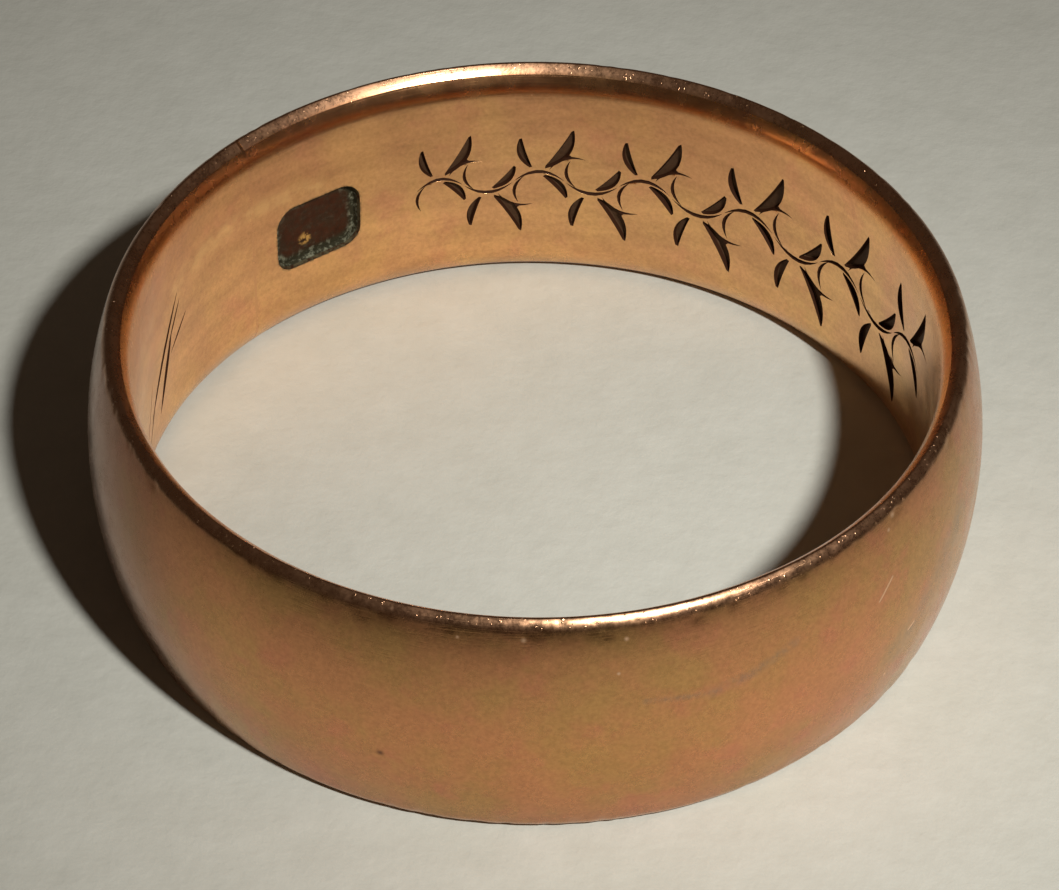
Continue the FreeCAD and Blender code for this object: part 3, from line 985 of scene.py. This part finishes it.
def outer_smudges_and_shade(s, colour):
    """The outside's colour under grey smudges, a dim lower part and painted brown shade towards -X.
    """
    smudge = s.times(s.strokes(GREY_SMUDGE, band_point),
                     s.between(s.noise(0.7, 4.0, 0.7, seed=4.0), 0.35, 0.65))
    streak = s.times(s.strokes(GREY_STREAK, band_point),
                     s.between(s.noise(0.2, 4.0, 0.7, seed=5.0), 0.3, 0.7))
    colour = s.mix(s.most(s.times(smudge, 0.45), s.times(streak, 0.5)), colour, GREY_FILM)
    colour = s.shaded(colour, s.between(s.drifting_height(2.2, 25.0), -3.2, 0.4, 0.76, 1.0))
    # Painted shade: towards -X the colour turns dark brown, standing for the shadowed floor that this
    # side mirrors.
    across = s.plus(s.along_axis("X"), s.noise(2.4, 3.0, 0.6, seed=31.0))
    return s.mix(s.between(across, -9.0, -5.5, 0.8, 0.0), colour, BROWN_DIRT_AND_SHADE)


def bright_marks_and_glints(s):
    """1 where the outside is scratched or chipped down to bright gold, painted light also as their
    glints.
    """
    bright = s.strokes(BRIGHT_LINES, band_point)
    for angle, level, radius in BRIGHT_SPECKS:
        bright = s.most(bright, s.spot(band_point(angle, level), radius))
    return bright


def shell_material():
    """Satin red gold outside, dirty beside the rims and rubbed bright and speckled on them."""
    s = Shader("worn_red_gold")
    crest = s.attribute("crest")
    bright = bright_marks_and_glints(s)
    patchy = s.between(s.noise(0.3, 4.0, 0.55, seed=6.0), 0.3, 0.8, 0.3, 1.0)
    dirt = s.times(s.times(s.attribute("rim"), patchy), 0.34)
    colour = outer_smudges_and_shade(s, mottled_gold(s, RED_GOLD, OCHRE_GOLD, ROSE_GOLD))
    colour = s.mix(dirt, colour, BROWN_DIRT_AND_SHADE)
    colour = s.mix(s.times(crest, 0.75), colour, CREST_TONE)
    pit_angle, pit_level, pit_radius = PIT
    colour = s.mix(s.spot(band_point(pit_angle, pit_level), pit_radius), colour, BROWN_DIRT_AND_SHADE)
    # Partly painted highlight: bared gold made light enough to stand for the marks' glints.
    colour = s.mix(bright, colour, BARE_GOLD_AND_GLINT)
    fine = s.noise(0.06, 3.0, 0.65, seed=7.0)
    broad = s.noise(0.5, 3.0, 0.6, seed=8.0)
    worn = s.between(s.noise(0.07, 3.0, 0.7, seed=24.0), 0.35, 0.65, 0.0, 0.05)
    rough = s.plus(s.between(broad, 0.3, 0.7, 0.2, 0.29), s.between(fine, 0.3, 0.7, -0.03, 0.03))
    for part in (s.times(dirt, 0.12), s.times(crest, worn), s.times(bright, 0.18)):
        rough = s.plus(rough, part)
    lines = s.plus(s.scratches(0.5, 3.0, 0.09, 0.5, 9.0), s.scratches(-0.9, 2.4, 0.1, 0.52, 10.0))
    lines = s.plus(lines, s.scratches(0.06, 5.0, 0.07, 0.48, 11.0))
    specks = s.between(s.noise(0.075, 1.0, 0.5, seed=26.0), 0.66, 0.74)
    normal = s.bump(fine, 0.0012)
    normal = s.bump(broad, 0.004, normal)
    normal = s.bump(s.times(lines, -1.0), 0.0006, normal)
    normal = s.bump(s.times(specks, crest), 0.005, normal)
    return s.finish(colour, rough, 1.0, normal)


def painted_shade_and_highlight(s, colour):
    """Painted shade inside the bore: the colour darkens higher up, less so towards +X.

    A painted highlight, a pale streak above the cartouche, is light on a soft ridge there.
    """
    # Painted shade: darker and redder higher up, fading out towards +X.
    high = s.between(s.drifting_height(2.6, 27.0), -1.6, 2.4)
    kept = s.between(s.along_axis("X"), 2.5, 7.0, 1.0, 0.1)
    shade_tint = s.mix(s.times(high, kept), UNSHADED_TINT, PAINTED_SHADE_TINT)
    colour = s.mix(1.0, colour, shade_tint, "MULTIPLY")
    # Painted highlight: a pale streak above the cartouche, standing for light on a soft ridge.
    highlight_streak = s.times(s.strokes(HIGHLIGHT_STREAK_LINES, bore_point),
                       s.between(s.noise(0.5, 3.0, 0.6, seed=32.0), 0.3, 0.7))
    return s.mix(s.times(highlight_streak, 0.75), colour, HIGHLIGHT_STREAK_GOLD)


def lining_material():
    """Paler rubbed gold inside, streaked along the bore, with grime in every cut."""
    s = Shader("rubbed_gold_lining")
    colour = painted_shade_and_highlight(s, mottled_gold(s, PALE_GOLD, PALE_OCHRE, PALE_ROSE))
    along = s.scaled(s.unrolled(), 1.0, 0.22, (0.4, 1.9, 1.0))
    streaks = s.noise(1.0, 5.0, 0.6, along, 30.0)
    colour = s.shaded(colour, s.between(streaks, 0.3, 0.7, 0.86, 1.08))
    grime = s.between(s.attribute("cut"), 0.0, 0.0015)
    colour = s.mix(grime, colour, CUT_GRIME)
    stain = s.times(s.between(s.attribute("recess"), -0.06, 0.0),
                    s.between(s.noise(0.12, 3.0, 0.6, seed=12.0), 0.35, 0.6))
    colour = s.mix(s.times(stain, 0.7), colour, GREEN_STAIN)
    fine = s.noise(0.07, 3.0, 0.6, seed=13.0)
    broad = s.noise(0.6, 3.0, 0.6, seed=14.0)
    rough = s.between(broad, 0.3, 0.7, 0.2, 0.27)
    rough = s.plus(rough, s.times(s.attribute("rim"), 0.03))
    rough = s.plus(rough, s.times(grime, 0.4))
    lines = s.plus(s.scratches(0.03, 4.0, 0.06, 0.45, 15.0),
                   s.scratches(1.1, 2.0, 0.09, 0.55, 16.0))
    normal = s.bump(s.times(lines, -1.0), 0.0005, s.bump(fine, 0.0008))
    metal = s.math("SUBTRACT", 1.0, grime)
    return s.finish(colour, rough, metal, normal, gloss=0.04)


def corrosion(s, inside):
    """Colour of the cartouche's floor: red-brown copper, green along the wall, a fleck of gold."""
    copper = s.mix(s.noise(0.2, 3.0, 0.6, seed=19.0), *RED_COPPER)
    flecks = s.times(s.between(s.noise(0.13, 4.0, 0.7, seed=20.0), 0.48, 0.66),
                     s.between(inside, 0.1, 0.4, 1.0, 0.2))
    patina = s.between(s.noise(0.3, 4.0, 0.65, seed=18.0), 0.4, 0.62)
    green = s.most(s.between(inside, 0.12, 0.34, 1.0, 0.0), s.times(patina, 0.4))
    corroded = s.mix(green, copper, s.mix(flecks, *VERDIGRIS))
    fleck_place = bore_point(RECESS_ANGLE + 1.6, RECESS_LEVEL - 0.35, RECESS_DEPTH)
    fleck = s.times(s.between(s.spot(fleck_place, 0.34), 0.3, 0.8),
                    s.between(s.noise(0.16, 3.0, 0.7, seed=28.0), 0.44, 0.52))
    return s.mix(fleck, corroded, FLECK_GOLD)


def core_material():
    """Dark bared base metal in the floors of the cuts, and corrosion in the cartouche."""
    s = Shader("bared_base_metal")
    grain = s.noise(0.09, 3.0, 0.65, seed=17.0)
    inside = s.attribute("recess")
    in_recess = s.between(inside, -0.02, 0.02)
    colour = s.mix(in_recess, s.mix(grain, *BASE_METAL), corrosion(s, inside))
    metal = s.between(in_recess, 0.0, 1.0, 0.2, 0.0)
    rough = s.between(in_recess, 0.0, 1.0, 0.55, 0.62)
    normal = s.bump(s.noise(0.15, 4.0, 0.7, seed=21.0), 0.012, s.bump(grain, 0.004))
    return s.finish(colour, rough, metal, normal, gloss=0.08)


def solder_material():
    """Solder nearly of the lining's tone, under the same painted shade and highlight."""
    s = Shader("dull_solder")
    grain = s.noise(0.08, 3.0, 0.6, seed=22.0)
    colour = painted_shade_and_highlight(s, s.mix(grain, SOLDER_GOLD, PALE_GOLD))
    return s.finish(colour, s.between(grain, 0.3, 0.7, 0.2, 0.28), 1.0, s.bump(grain, 0.0006))


def floor_material():
    s = Shader("pale_floor")
    soft = s.noise(0.9, 4.0, 0.65, seed=23.0)
    return s.finish(s.mix(soft, *FLOOR_TONES), 0.9, 0.0, s.bump(soft, 0.05))


# ---------------------------------------------------------------- stage, lights and camera
# Distances here are in metres, the sensor and lens in mm.  The lamp's place is an azimuth, an
# elevation and a distance, as place_at() takes them.
FLOOR_HALF = 2.0
FLASH_PLACE = (31.25, 50.5, 0.1523)
FLASH_TARGET = Vector((0.0062, -0.004, 0))
FLASH_SIZE = 0.0118
FLASH_SPREAD = math.radians(33)
FLASH_ENERGY = 0.0093
FLASH_COLOUR = (1.0, 0.985, 0.93)
ROOM_COLOUR = (1.0, 0.68, 0.46, 1.0)
ROOM_STRENGTH = 0.042

VIEW_ELEVATION = 41.95
VIEW_DISTANCE = 0.0946
VIEW_ROLL = 0.45
SENSOR = 36.0
LENS = 146.3
SHIFT = (-0.0053, -0.0206)
CLIP = (0.005, 10.0)


def make_floor():
    """A plain floor that the ring's lower rim rests on."""
    mesh = bpy.data.meshes.new("floor")
    corners = [
        (x * FLOOR_HALF, y * FLOOR_HALF, cad_low.z) for x, y in ((-1, -1), (1, -1), (1, 1), (-1, 1))
    ]
    mesh.from_pydata(corners, [], [(0, 1, 2, 3)])
    floor = bpy.data.objects.new("floor", mesh)
    bpy.context.scene.collection.objects.link(floor)
    mesh.materials.append(floor_material())


def aim(thing, target=Vector((0, 0, 0))):
    direction = target - thing.location
    thing.rotation_euler = direction.to_track_quat("-Z", "Y").to_euler()


def place_at(azimuth, elevation, distance):
    """A place in metres from two angles in degrees.  Azimuth 0 is at -Y and turns towards +X."""
    a = math.radians(azimuth)
    e = math.radians(elevation)
    return distance * Vector((math.sin(a) * math.cos(e), -math.cos(a) * math.cos(e), math.sin(e)))


def make_lights():
    """One small soft lamp beside the camera, and a faint warm room."""
    data = bpy.data.lights.new("flash", "AREA")
    data.shape = "DISK"
    data.size = FLASH_SIZE
    data.spread = FLASH_SPREAD
    data.energy = FLASH_ENERGY
    data.color = FLASH_COLOUR
    flash = bpy.data.objects.new("flash", data)
    flash.location = place_at(*FLASH_PLACE)
    aim(flash, FLASH_TARGET)
    bpy.context.scene.collection.objects.link(flash)
    world = bpy.data.worlds.new("room")
    world.use_nodes = True
    background = world.node_tree.nodes["Background"]
    background.inputs["Color"].default_value = ROOM_COLOUR
    background.inputs["Strength"].default_value = ROOM_STRENGTH
    bpy.context.scene.world = world


def make_camera():
    data = bpy.data.cameras.new("camera")
    data.sensor_width = SENSOR
    data.lens = LENS
    data.shift_x, data.shift_y = SHIFT
    data.clip_start, data.clip_end = CLIP
    camera = bpy.data.objects.new("camera", data)
    camera.location = place_at(0, VIEW_ELEVATION, VIEW_DISTANCE)
    aim(camera)
    camera.rotation_euler.rotate_axis("Z", math.radians(VIEW_ROLL))
    bpy.context.scene.collection.objects.link(camera)
    bpy.context.scene.camera = camera


# ---------------------------------------------------------------- build
def main():
    """The four pieces with their materials, then the stage and the camera."""
    plan = Plan(vine_cuts() + scratch_cuts())
    lining = make_lining(plan)
    core = make_core(plan)
    wear = Wear(seed=4)
    shell = make_shell(wear)
    solder = make_solder(wear)
    for piece, material in (
        (lining, lining_material()),
        (core, core_material()),
        (shell, shell_material()),
        (solder, solder_material()),
    ):
        piece.data.materials.append(material)
    make_floor()
    make_lights()
    make_camera()
    bpy.context.scene.view_settings.view_transform = "Standard"


main()
